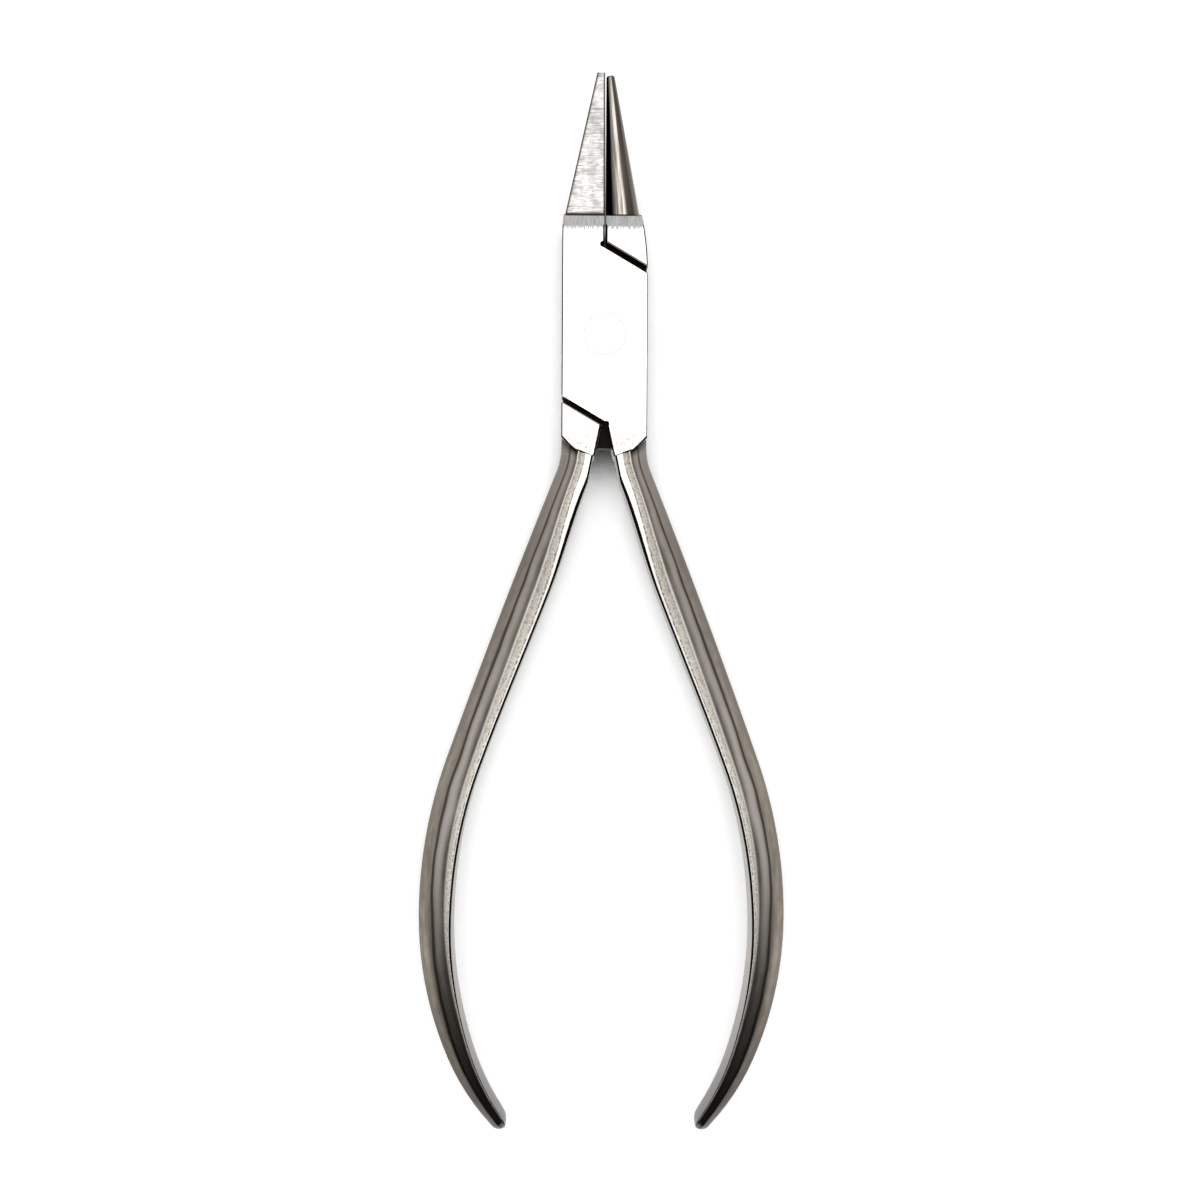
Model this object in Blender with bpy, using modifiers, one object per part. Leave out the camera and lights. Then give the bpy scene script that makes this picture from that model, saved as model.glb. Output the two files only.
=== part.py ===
"""Bird-beak orthodontic pliers with a box joint, closed and lying flat, beaks towards +Y.

The origin is on the pivot axis, at the back face of the joint, and +Z points out of the front face.
The outer half is the flat beak, the slotted joint block and the handle on the +X side. The inner half is
the round beak, the tongue that passes through the slot and the handle on the -X side. A flush rivet joins them.
"""

import math

import bmesh
import bpy
from mathutils import Matrix, Vector

MM = 0.001

# Joint block
JOINT_WIDTH = 10.4 * MM
JOINT_THICKNESS = 8.0 * MM
CHEEK_THICKNESS = 2.5 * MM
SHOULDER_HEIGHT = 14.4 * MM
FLAT_SIDE_WIDTH_AT_END = 5.0 * MM
ROUND_SIDE_WIDTH_AT_END = 4.36 * MM
FLAT_SIDE_RADIUS = 22.0 * MM
ROUND_SIDE_RADIUS = 34.0 * MM
SHOULDER_BEVEL_LENGTH = 1.35 * MM
SHOULDER_BEVEL_DEPTH = 0.55 * MM
SHOULDER_FALL_LENGTH = 0.5 * MM
SHOULDER_FALL_DEPTH = 1.4 * MM
EDGE_BREAK = 0.15 * MM

# Slot, tongue and the slanted mouths where the inner half leaves the block
MOUTH_SLOPE = math.radians(30.5)
CHEEK_REACH = 9.1 * MM
MOUTH_GAP = 0.6 * MM
MOUTH_RELIEF_RADIUS = 0.38 * MM
MOUTH_RELIEF_DEPTH = 2.7 * MM
SLOT_RADIUS = 8.9 * MM
RUNNING_CLEARANCE = 0.05 * MM
JAW_GAP = 0.24 * MM

# Rivet
PIN_DIAMETER = 4.0 * MM
PIN_HEAD_DIAMETER = 5.0 * MM
PIN_HEAD_DEPTH = 0.7 * MM

# Beaks
BEAK_GAP = 0.12 * MM
FLAT_BEAK_LENGTH = 18.2 * MM
FLAT_BEAK_BASE_WIDTH = 4.9 * MM
FLAT_BEAK_BASE_DEPTH = 4.6 * MM
FLAT_BEAK_TIP_WIDTH = 0.98 * MM
FLAT_BEAK_TIP_DEPTH = 1.2 * MM
FLAT_BEAK_EDGE = 0.1 * MM
ROUND_BEAK_LENGTH = 18.0 * MM
ROUND_BEAK_BASE_DIAMETER = 4.3 * MM
ROUND_BEAK_TIP_DIAMETER = 1.05 * MM
ROUND_BEAK_TIP_RADIUS = 0.25 * MM

# Crotch between the handle roots
CROTCH_HALF_GAP = 0.3 * MM
CROTCH_SPREAD = math.radians(11.5)
WEB_REACH = 13.7 * MM
FACE_END_INNER = 14.9 * MM
FACE_END_OUTER = 12.5 * MM
FACE_END_RADIUS = 7.5 * MM

# Handle, followed along its outer edge: a straight neck, an outward bend, a shank that
# hardly curves, and three arcs that close round the palm
HANDLE_START = 11.4 * MM
NECK_LENGTH = 2.1 * MM
BEND_RADIUS = 8.0 * MM
HANDLE_SPREAD = math.radians(21.8)
WIDENING_LENGTH = 14.0 * MM
SHANK_LENGTH = 37.6 * MM
SHANK_TURN = math.radians(2.2)
PALM_RADIUS = 58.0 * MM
HEEL_RADIUS = 44.0 * MM
HEEL_TURN = math.radians(23.5)
END_RADIUS = 28.5 * MM
END_TURN = math.radians(22.5)
HANDLE_WIDTH = 4.7 * MM
SHANK_END_WIDTH = 4.3 * MM
HANDLE_TIP_WIDTH = 1.7 * MM
WIDTH_TAPER_POWER = 3.0
HANDLE_TIP_THICKNESS = 4.6 * MM
THICKNESS_TAPER_POWER = 2.5
HANDLE_TIP_ROUNDING = 1.2 * MM
HANDLE_TIP_FLAT = 0.2  # share of the section that is left at the very end
FACE_STEP = 0.04 * MM
INNER_FACE_CROWN = 0.08 * MM
INNER_FACE_CROWN_AT_END = 0.1 * MM

# Grip section: a level land along the inner edge, a band that falls gently to a ridge, a hollow
# flute down to a crease, and the rounded outer face. The band falls less towards the end, over
# these shares of the curved part of the handle
SECTION_CHANGE_START = 0.1
SECTION_CHANGE_END = 0.62
LAND_WIDTH_AT_ROOT = 0.95 * MM
LAND_WIDTH = 0.28 * MM
LAND_NARROWS_AFTER = 4.0 * MM
LAND_NARROWS_UNTIL = 22.0 * MM
LAND_SHARE_AT_MOST = 0.5
BAND_FALL = 0.21
BAND_FALL_AT_END = 0.1
FLUTE_WIDTH_AT_ROOT = 1.0 * MM
FLUTE_WIDTH = 1.65 * MM
FLUTE_SHARE_AT_MOST = 0.47
FLUTE_FALL = 0.6
FLUTE_FALL_AT_END = 0.5
FLUTE_HOLLOW = 0.07 * MM
FLUTE_HOLLOW_AT_END = 0.04 * MM
OUTER_WIDTH_AT_ROOT = 1.05 * MM
OUTER_WIDTH_AT_END = 2.0 * MM
OUTER_SHARE_AT_MOST = 0.45
OUTER_EDGE_HALF_HEIGHT = 0.95 * MM
OUTER_EDGE_HALF_HEIGHT_AT_END = 0.5 * MM
OUTER_BULGE = 0.2  # 0 is a flat outer face and 1 is a quarter of an ellipse

# Facets
ROUND_STEPS = 64
ARC_STEP = 1.7 * MM
SHANK_STEP = 3.6 * MM
FLUTE_STEPS = 4
OUTER_STEPS = 6
TIP_STEPS = 6

HALF_WIDTH = JOINT_WIDTH / 2
BLOCK_END = SHOULDER_HEIGHT + SHOULDER_FALL_LENGTH
MID_HEIGHT = JOINT_THICKNESS / 2
SLOT_LOW = CHEEK_THICKNESS
SLOT_HIGH = JOINT_THICKNESS - CHEEK_THICKNESS
PAST = 1.0 * MM  # how far a cutter runs past the surface that it leaves


def clear_scene():
    for obj in list(bpy.data.objects):
        bpy.data.objects.remove(obj)


def collection(name):
    made = bpy.data.collections.new(name)
    bpy.context.scene.collection.children.link(made)
    return made


def add_object(name, mesh, where):
    obj = bpy.data.objects.new(name, mesh)
    where.objects.link(obj)
    return obj


def steel(name, color, roughness):
    material = bpy.data.materials.new(name)
    material.use_nodes = True
    shader = material.node_tree.nodes["Principled BSDF"]
    shader.inputs["Base Color"].default_value = (*color, 1)
    shader.inputs["Metallic"].default_value = 1
    shader.inputs["Roughness"].default_value = roughness
    return material


def arc(center, radius, start, end, steps):
    """Points of an arc about center, from one angle to another, both included."""
    angles = [start + (end - start) * i / steps for i in range(steps + 1)]
    return [center + radius * Vector((math.cos(a), math.sin(a))) for a in angles]


def arc_between(start, end, radius, steps):
    """Points of the arc of this radius that bulges to the right of the way from start to end."""
    chord = end - start
    rise = math.sqrt(radius**2 - (chord.length / 2) ** 2)
    center = (start + end) / 2 + rise * Vector((-chord.y, chord.x)).normalized()
    first = math.atan2(start.y - center.y, start.x - center.x)
    last = math.atan2(end.y - center.y, end.x - center.x)
    if last < first:
        last += 2 * math.pi
    return arc(center, radius, first, last, steps)


def plate(name, outline, low, high, where):
    """A flat outline given its thickness, from height low to height high."""
    curve = bpy.data.curves.new(name, "CURVE")
    curve.dimensions = "2D"
    curve.fill_mode = "BOTH"
    curve.extrude = (high - low) / 2
    spline = curve.splines.new("POLY")
    spline.points.add(len(outline) - 1)
    for point, place in zip(spline.points, outline):
        point.co = (place.x, place.y, 0, 1)
    spline.use_cyclic_u = True
    drawn = add_object(name, curve, where)
    drawn.location.z = (low + high) / 2
    return curve_to_mesh(drawn, where)


def evaluated_mesh(obj):
    bpy.context.view_layer.update()
    graph = bpy.context.evaluated_depsgraph_get()
    return bpy.data.meshes.new_from_object(obj.evaluated_get(graph))


def curve_to_mesh(drawn, where):
    mesh = evaluated_mesh(drawn)
    name = drawn.name
    placed = drawn.matrix_world.copy()
    bpy.data.objects.remove(drawn)
    shape = bmesh.new()
    shape.from_mesh(mesh)
    bmesh.ops.remove_doubles(shape, verts=shape.verts, dist=1e-7)
    shape.transform(placed)
    shape.to_mesh(mesh)
    shape.free()
    return add_object(name, mesh, where)


def loft(name, rings, where):
    """A closed skin through rings of equally many points, capped at both ends."""
    shape = bmesh.new()
    made = [[shape.verts.new(point) for point in ring] for ring in rings]
    count = len(rings[0])
    for near, far in zip(made, made[1:]):
        for i in range(count):
            j = (i + 1) % count
            shape.faces.new((near[i], near[j], far[j], far[i]))
    shape.faces.new(made[0])
    shape.faces.new(reversed(made[-1]))
    bmesh.ops.recalc_face_normals(shape, faces=shape.faces)
    mesh = bpy.data.meshes.new(name)
    shape.to_mesh(mesh)
    shape.free()
    return add_object(name, mesh, where)


def turned(name, profile, where):
    """A profile of (radius, height) points, given from the top down, turned about its own Z axis."""
    mesh = bpy.data.meshes.new(name)
    edges = [(i, i + 1) for i in range(len(profile) - 1)]
    mesh.from_pydata([(radius, 0, height) for radius, height in profile], edges, [])
    obj = add_object(name, mesh, where)
    screw = obj.modifiers.new("turn", "SCREW")
    screw.steps = ROUND_STEPS
    screw.render_steps = ROUND_STEPS
    screw.use_merge_vertices = True
    screw.merge_threshold = 1e-7
    return obj


def combine(target, tool, operation):
    modifier = target.modifiers.new(tool.name, "BOOLEAN")
    modifier.operation = operation
    modifier.object = tool
    modifier.solver = "EXACT"
    tool.hide_render = True
    tool.display_type = "WIRE"


def break_edges(obj):
    bevel = obj.modifiers.new("broken edges", "BEVEL")
    bevel.width = EDGE_BREAK
    bevel.limit_method = "ANGLE"
    bevel.angle_limit = math.radians(50)
    bevel.use_clamp_overlap = False


def mouth_y(x, reach):
    """Height of the upper slanted edge at x, for an edge that passes the pivot at this distance."""
    return (reach - x * math.sin(MOUTH_SLOPE)) / math.cos(MOUTH_SLOPE)


def crotch_corner():
    """Height, below the pivot, at which the handle roots begin to part."""
    return -mouth_y(CROTCH_HALF_GAP, CHEEK_REACH)


def crotch_x(y):
    """Half the gap between the handle roots at y, which is negative."""
    return CROTCH_HALF_GAP + max(0, crotch_corner() - y) * math.tan(CROTCH_SPREAD)


def side_points(width_at_end, radius):
    """The +X side of the block, from its end down to where it turns straight."""
    center = Vector((HALF_WIDTH - radius, 0))
    turn = math.acos((width_at_end - center.x) / radius)
    center.y = BLOCK_END - radius * math.sin(turn)
    return arc(center, radius, turn, 0, 6)


def mirrored(points):
    return [Vector((-point.x, point.y)) for point in points]


def face_end():
    """Lower edge of the flat joint face on the +X side, from the crotch out to the side."""
    inner = Vector((crotch_x(-FACE_END_INNER), -FACE_END_INNER))
    outer = Vector((HALF_WIDTH, -FACE_END_OUTER))
    return arc_between(inner, outer, FACE_END_RADIUS, 8)


def outer_plate_outline():
    left = mirrored(side_points(FLAT_SIDE_WIDTH_AT_END, FLAT_SIDE_RADIUS))
    lower_mouth = [
        Vector((-HALF_WIDTH, -mouth_y(HALF_WIDTH, CHEEK_REACH))),
        Vector((CROTCH_HALF_GAP, -mouth_y(-CROTCH_HALF_GAP, CHEEK_REACH))),
    ]
    upper_mouth = [
        Vector((HALF_WIDTH, mouth_y(HALF_WIDTH, CHEEK_REACH))),
        Vector((-JAW_GAP / 2, mouth_y(-JAW_GAP / 2, CHEEK_REACH))),
    ]
    top = [Vector((-JAW_GAP / 2, BLOCK_END))]
    return left + lower_mouth + face_end() + upper_mouth + top


def inner_jaw_outline():
    reach = CHEEK_REACH + MOUTH_GAP
    right = side_points(ROUND_SIDE_WIDTH_AT_END, ROUND_SIDE_RADIUS)
    above = [point for point in right if point.y > mouth_y(HALF_WIDTH, reach) + EDGE_BREAK]
    mouth = [
        Vector((HALF_WIDTH, mouth_y(HALF_WIDTH, reach))),
        Vector((JAW_GAP / 2, mouth_y(JAW_GAP / 2, reach))),
    ]
    return [Vector((JAW_GAP / 2, BLOCK_END))] + above + mouth


def inner_root_corner():
    """Where the slanted edge of the handle root meets its side of the crotch."""
    spread = math.tan(CROTCH_SPREAD)
    straight = CROTCH_HALF_GAP + crotch_corner() * spread
    reach = CHEEK_REACH + MOUTH_GAP
    y = (straight * math.sin(MOUTH_SLOPE) - reach) / (math.cos(MOUTH_SLOPE) + spread * math.sin(MOUTH_SLOPE))
    return Vector((-crotch_x(y), y))


def inner_root_outline():
    outer = Vector((-HALF_WIDTH, -mouth_y(HALF_WIDTH, CHEEK_REACH + MOUTH_GAP)))
    return [outer, inner_root_corner()] + mirrored(face_end())


def tongue_half(neck_x, corner):
    """One end of the tongue, rounded about the pivot, and its neck past this corner of the root above it."""
    radius = SLOT_RADIUS - RUNNING_CLEARANCE
    side = math.acos(HALF_WIDTH / radius)
    neck = math.acos(neck_x / radius)
    reach = CHEEK_REACH + 2 * MOUTH_GAP
    shoulder_x = HALF_WIDTH - MOUTH_GAP
    return arc(Vector((0, 0)), radius, math.pi - side, neck, 16) + [
        Vector((neck_x, mouth_y(neck_x, CHEEK_REACH))),
        corner,
        corner + Vector((MOUTH_GAP / 2, MOUTH_GAP)),
        Vector((shoulder_x, mouth_y(shoulder_x, reach))),
        Vector((HALF_WIDTH, mouth_y(HALF_WIDTH, CHEEK_REACH))),
    ]


def tongue_outline():
    jaw_x = JAW_GAP / 2
    upper = tongue_half(jaw_x, Vector((jaw_x, mouth_y(jaw_x, CHEEK_REACH + MOUTH_GAP))))
    lower = tongue_half(CROTCH_HALF_GAP, -inner_root_corner())
    return upper + [-point for point in lower]


def slot_half(neck_x):
    """The space that one end of the tongue and its neck need inside the block, at every opening."""
    corner = math.acos(min(1, (HALF_WIDTH + PAST) / SLOT_RADIUS))
    neck = math.acos(neck_x / SLOT_RADIUS)
    high = BLOCK_END + PAST
    return arc(Vector((0, 0)), SLOT_RADIUS, math.pi - corner, neck, 24) + [
        Vector((neck_x, high)),
        Vector((HALF_WIDTH + PAST, high)),
    ]


def slot_outline():
    lower = slot_half(CROTCH_HALF_GAP - 2 * RUNNING_CLEARANCE)
    return slot_half(-JAW_GAP / 2) + [-point for point in lower]


def web_outline():
    """The wall between the cheeks that closes the slot under the crotch."""
    edge = 2 * RUNNING_CLEARANCE
    heights = (-WEB_REACH, crotch_corner(), -SLOT_RADIUS)
    left = [Vector((edge - crotch_x(y), y)) for y in heights]
    return left + [Vector((HALF_WIDTH / 2, -SLOT_RADIUS)), Vector((HALF_WIDTH / 2, -WEB_REACH))]


def shoulder_bevel(name, front, where):
    """A cutter that slopes the end of the block, gently and then steeply, down to the beaks, on the
    front or the back."""
    run = SHOULDER_BEVEL_LENGTH
    drop = SHOULDER_BEVEL_DEPTH
    beyond = SHOULDER_FALL_LENGTH + EDGE_BREAK
    lowest = -drop - SHOULDER_FALL_DEPTH * beyond / SHOULDER_FALL_LENGTH
    profile = [(-run, 0), (0, -drop), (beyond, lowest), (beyond, PAST), (-run, PAST)]
    rings = []
    for x in (-JOINT_WIDTH, JOINT_WIDTH):
        if front:
            rings.append([(x, SHOULDER_HEIGHT + y, JOINT_THICKNESS + z) for y, z in profile])
        else:
            rings.append([(x, SHOULDER_HEIGHT + y, -z) for y, z in profile])
    return loft(name, rings, where)


def flat_beak(where):
    """Four-sided pyramid with its gripping face upright beside the round beak."""

    def ring(y, width, depth):
        edge = FLAT_BEAK_EDGE
        inner = -BEAK_GAP / 2
        outer = inner - width
        low = MID_HEIGHT - depth / 2
        high = MID_HEIGHT + depth / 2
        return [
            (inner, y, low + edge),
            (inner, y, high - edge),
            (inner - edge, y, high),
            (outer + edge, y, high),
            (outer, y, high - edge),
            (outer, y, low + edge),
            (outer + edge, y, low),
            (inner - edge, y, low),
        ]

    root = FLAT_BEAK_EDGE * 2
    base = SHOULDER_HEIGHT
    tip = base + FLAT_BEAK_LENGTH
    rings = [
        ring(base - PAST, FLAT_BEAK_BASE_WIDTH - 2 * root, FLAT_BEAK_BASE_DEPTH - 2 * root),
        ring(base, FLAT_BEAK_BASE_WIDTH, FLAT_BEAK_BASE_DEPTH),
        ring(tip, FLAT_BEAK_TIP_WIDTH, FLAT_BEAK_TIP_DEPTH),
    ]
    rings[0] = [(x - root, y, z) for x, y, z in rings[0]]
    return loft("flat_beak", rings, where)


def round_beak(where):
    """Cone whose side that faces the flat beak is upright, with a rounded end."""
    base = ROUND_BEAK_BASE_DIAMETER / 2
    tip = ROUND_BEAK_TIP_DIAMETER / 2
    length = ROUND_BEAK_LENGTH
    lean = math.atan((base - tip) / length)
    rounding = ROUND_BEAK_TIP_RADIUS
    corner = arc(Vector((tip - rounding, length - rounding)), rounding, math.pi / 2, lean, 5)
    profile = [(0, length)] + [(point.x, point.y) for point in corner]
    profile += [(base, 0), (base - 2 * JAW_GAP, -PAST), (0, -PAST)]
    beak = turned("round_beak", profile, where)
    beak.location = (BEAK_GAP / 2 + base, SHOULDER_HEIGHT, MID_HEIGHT)
    beak.rotation_euler = (Matrix.Rotation(lean, 3, "Z") @ Matrix.Rotation(-math.pi / 2, 3, "X")).to_euler()
    return beak


def smooth_step(value, low, high):
    share = min(1, max(0, (value - low) / (high - low)))
    return share * share * (3 - 2 * share)


def mix(near, far, share):
    return near + (far - near) * share


def handle_path():
    """Stations along the outer edge of the +X handle: (place, outward normal, distance)."""
    widened = WIDENING_LENGTH / SHANK_LENGTH
    palm_turn = HANDLE_SPREAD - SHANK_TURN
    pieces = [
        (NECK_LENGTH, 0, SHANK_STEP),
        (BEND_RADIUS * HANDLE_SPREAD, HANDLE_SPREAD, ARC_STEP / 2),
        (WIDENING_LENGTH, -SHANK_TURN * widened, ARC_STEP),
        (SHANK_LENGTH - WIDENING_LENGTH, -SHANK_TURN * (1 - widened), SHANK_STEP),
        (PALM_RADIUS * palm_turn, -palm_turn, ARC_STEP),
        (HEEL_RADIUS * HEEL_TURN, -HEEL_TURN, ARC_STEP),
        (END_RADIUS * END_TURN, -END_TURN, ARC_STEP),
    ]
    place = Vector((HALF_WIDTH, -HANDLE_START))
    heading = 0.0
    gone = 0.0
    stations = [(place.copy(), Vector((1, 0)), gone)]
    for length, turn, step in pieces:
        count = max(1, round(length / step))
        for _ in range(count):
            middle = heading + turn / count / 2
            chord = length / count
            place = place + chord * Vector((math.sin(middle), -math.cos(middle)))
            heading += turn / count
            gone += chord
            stations.append((place.copy(), Vector((math.cos(heading), math.sin(heading))), gone))
    return stations


def grip_section(width, half, gone, along, share, crown):
    """Half of the section in front of the mid plane, as (distance from the inner edge, height)."""
    outer_face = min(mix(OUTER_WIDTH_AT_ROOT, OUTER_WIDTH_AT_END, along), OUTER_SHARE_AT_MOST * width)
    widening = smooth_step(gone, bend_end(), bend_end() + WIDENING_LENGTH)
    flute = min(mix(FLUTE_WIDTH_AT_ROOT, FLUTE_WIDTH, widening), FLUTE_SHARE_AT_MOST * width)
    ridge = width - outer_face - flute
    narrowing = smooth_step(gone, LAND_NARROWS_AFTER, LAND_NARROWS_UNTIL)
    land = min(mix(LAND_WIDTH_AT_ROOT, LAND_WIDTH, narrowing), LAND_SHARE_AT_MOST * ridge)
    crease = ridge + flute
    ridge_height = half - (ridge - land) * mix(BAND_FALL, BAND_FALL_AT_END, share)
    crease_height = ridge_height - flute * mix(FLUTE_FALL, FLUTE_FALL_AT_END, share)
    hollow = mix(FLUTE_HOLLOW, FLUTE_HOLLOW_AT_END, share)
    outer = mix(OUTER_EDGE_HALF_HEIGHT, OUTER_EDGE_HALF_HEIGHT_AT_END, share)
    edge = min(EDGE_BREAK * 1.5, land / 2)
    points = [(-crown, 0), (-crown * edge / half, half - edge), (edge, half), (land, half)]
    for i in range(FLUTE_STEPS + 1):
        t = i / FLUTE_STEPS
        sag = hollow * 4 * t * (1 - t)
        points.append((mix(ridge, crease, t), mix(ridge_height, crease_height, t) - sag))
    for i in range(1, OUTER_STEPS + 1):
        t = i / OUTER_STEPS
        turn = t * math.pi / 2
        bulged = Vector((mix(crease, width, math.sin(turn)), mix(outer, crease_height, math.cos(turn))))
        straight = Vector((mix(crease, width, t), mix(crease_height, outer, t)))
        points.append(tuple(straight.lerp(bulged, OUTER_BULGE)))
    points.append((width, 0))
    return points


def bend_end():
    """Distance along the outer edge at which the outward bend ends."""
    return NECK_LENGTH + BEND_RADIUS * HANDLE_SPREAD


def root_width(place, outward):
    """Width of a section that starts at place and ends just short of the crotch's side."""
    slant = outward.x + outward.y * math.tan(CROTCH_SPREAD)
    return (place.x - crotch_x(place.y)) / slant - EDGE_BREAK


def neck_width():
    """Width at the end of the outward bend, where the handle leaves the line of the crotch."""
    outward = Vector((math.cos(HANDLE_SPREAD), math.sin(HANDLE_SPREAD)))
    place = Vector((HALF_WIDTH + BEND_RADIUS * (1 - outward.x), -HANDLE_START - NECK_LENGTH))
    place.y -= BEND_RADIUS * outward.y
    return root_width(place, outward)


def handle_width(place, outward, gone):
    if gone <= bend_end():
        return root_width(place, outward)
    widening = smooth_step(gone, bend_end(), bend_end() + WIDENING_LENGTH)
    widest = mix(neck_width(), HANDLE_WIDTH, widening)
    narrowing = smooth_step(gone, bend_end() + WIDENING_LENGTH, bend_end() + SHANK_LENGTH)
    return mix(widest, SHANK_END_WIDTH, narrowing)


def handle_ring(station, total, side):
    """The whole section at a station, on the +X side or mirrored to the -X side."""
    place, outward, gone = station
    shank_end = bend_end() + SHANK_LENGTH
    curved = max(0, (gone - shank_end) / (total - shank_end))
    width = mix(handle_width(place, outward, gone), HANDLE_TIP_WIDTH, curved**WIDTH_TAPER_POWER)
    half = mix(MID_HEIGHT - FACE_STEP, HANDLE_TIP_THICKNESS / 2, (gone / total) ** THICKNESS_TAPER_POWER)
    crown = mix(INNER_FACE_CROWN, INNER_FACE_CROWN_AT_END, curved)
    crown *= smooth_step(gone, NECK_LENGTH, 2 * bend_end())
    share = smooth_step(curved, SECTION_CHANGE_START, SECTION_CHANGE_END)
    front = grip_section(width, half, gone, gone / total, share, crown)
    section = front + [(u, -z) for u, z in reversed(front[1:-1])]
    ahead = total - gone
    if ahead < HANDLE_TIP_ROUNDING:
        shrink = max(HANDLE_TIP_FLAT, math.sqrt(1 - (1 - ahead / HANDLE_TIP_ROUNDING) ** 2))
        section = [(mix(width / 2, u, shrink), z * shrink) for u, z in section]
    ring = []
    for u, z in section:
        flat = place - outward * (width - u)
        ring.append((side * flat.x, flat.y, MID_HEIGHT + z))
    return ring


def handle(name, side, where):
    """The grip: a loft along the outer edge, rounded off at its end."""
    path = handle_path()
    total = path[-1][2]
    stations = [station for station in path if total - station[2] > HANDLE_TIP_ROUNDING]
    place, outward, gone = path[-1]
    along = Vector((outward.y, -outward.x))
    for i in range(TIP_STEPS + 1):
        back = HANDLE_TIP_ROUNDING * (1 - math.sin(math.pi / 2 * i / TIP_STEPS))
        stations.append((place - along * back, outward, gone - back))
    return loft(name, [handle_ring(station, total, side) for station in stations], where)


def rivet_profile(clearance, past):
    shank = PIN_DIAMETER / 2 + clearance
    head = PIN_HEAD_DIAMETER / 2 + clearance
    top = JOINT_THICKNESS + past
    profile = [(0, top), (head, top)]
    if past:
        profile.append((head, JOINT_THICKNESS))
    profile += [(shank, JOINT_THICKNESS - PIN_HEAD_DEPTH), (shank, PIN_HEAD_DEPTH)]
    if past:
        profile.append((head, 0))
    return profile + [(head, -past), (0, -past)]


def mouth_reliefs(where):
    """Round blind reliefs at the inner end of each slanted mouth, on the front and on the back."""
    x = -JAW_GAP / 2 - MOUTH_RELIEF_RADIUS / 3
    corner = Vector((x, mouth_y(x, CHEEK_REACH) + MOUTH_RELIEF_RADIUS / 2))
    made = []
    for name, place in (("upper", corner), ("lower", -corner)):
        circle = arc(place, MOUTH_RELIEF_RADIUS, 0, 2 * math.pi, 16)[:-1]
        floor = JOINT_THICKNESS - MOUTH_RELIEF_DEPTH
        made.append(plate(name + "_front_relief", circle, floor, JOINT_THICKNESS + PAST, where))
        made.append(plate(name + "_back_relief", circle, -PAST, MOUTH_RELIEF_DEPTH, where))
    return made


def make_outer_half(where, tools):
    half = plate("outer_half", outer_plate_outline(), 0, JOINT_THICKNESS, where)
    break_edges(half)
    combine(half, shoulder_bevel("outer_front_bevel", True, tools), "DIFFERENCE")
    combine(half, shoulder_bevel("outer_back_bevel", False, tools), "DIFFERENCE")
    combine(half, plate("slot", slot_outline(), SLOT_LOW, SLOT_HIGH, tools), "DIFFERENCE")
    for relief in mouth_reliefs(tools):
        combine(half, relief, "DIFFERENCE")
    combine(half, plate("web", web_outline(), SLOT_LOW - EDGE_BREAK, SLOT_HIGH + EDGE_BREAK, tools), "UNION")
    combine(half, flat_beak(tools), "UNION")
    combine(half, handle("outer_handle", 1, tools), "UNION")
    combine(half, turned("rivet_hole", rivet_profile(RUNNING_CLEARANCE, PAST), tools), "DIFFERENCE")
    return half


def make_inner_half(where, tools):
    low = SLOT_LOW + RUNNING_CLEARANCE
    high = SLOT_HIGH - RUNNING_CLEARANCE
    half = plate("inner_half", tongue_outline(), low, high, where)
    jaw = plate("inner_jaw_root", inner_jaw_outline(), 0, JOINT_THICKNESS, tools)
    break_edges(jaw)
    combine(jaw, shoulder_bevel("inner_front_bevel", True, tools), "DIFFERENCE")
    combine(jaw, shoulder_bevel("inner_back_bevel", False, tools), "DIFFERENCE")
    root = plate("inner_handle_root", inner_root_outline(), 0, JOINT_THICKNESS, tools)
    break_edges(root)
    combine(half, jaw, "UNION")
    combine(half, root, "UNION")
    combine(half, round_beak(tools), "UNION")
    combine(half, handle("inner_handle", -1, tools), "UNION")
    bore = rivet_profile(RUNNING_CLEARANCE, PAST)
    combine(half, turned("tongue_hole", bore, tools), "DIFFERENCE")
    return half


def make_pin(where):
    return turned("pivot_pin", rivet_profile(0, 0), where)


def finish(obj, material):
    """Applies the modifiers, so that edges are found sharp or smooth on the finished shape."""
    obj.data = evaluated_mesh(obj)
    obj.modifiers.clear()
    obj.data.materials.clear()
    obj.data.materials.append(material)
    obj.data.shade_smooth()
    obj.data.set_sharp_from_angle(angle=math.radians(25))


def main():
    clear_scene()
    parts = collection("orthodontic_pliers")
    tools = collection("cutters_and_joined_shapes")
    finish(make_outer_half(parts, tools), steel("satin steel outer", (0.56, 0.54, 0.51), 0.32))
    finish(make_inner_half(parts, tools), steel("satin steel inner", (0.56, 0.54, 0.51), 0.32))
    finish(make_pin(parts), steel("ground steel pin", (0.60, 0.59, 0.57), 0.28))


main()
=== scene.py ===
"""Looks of bird-beak orthodontic pliers in ground, polished and blasted steel, closed on a pale table."""

import math

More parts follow.
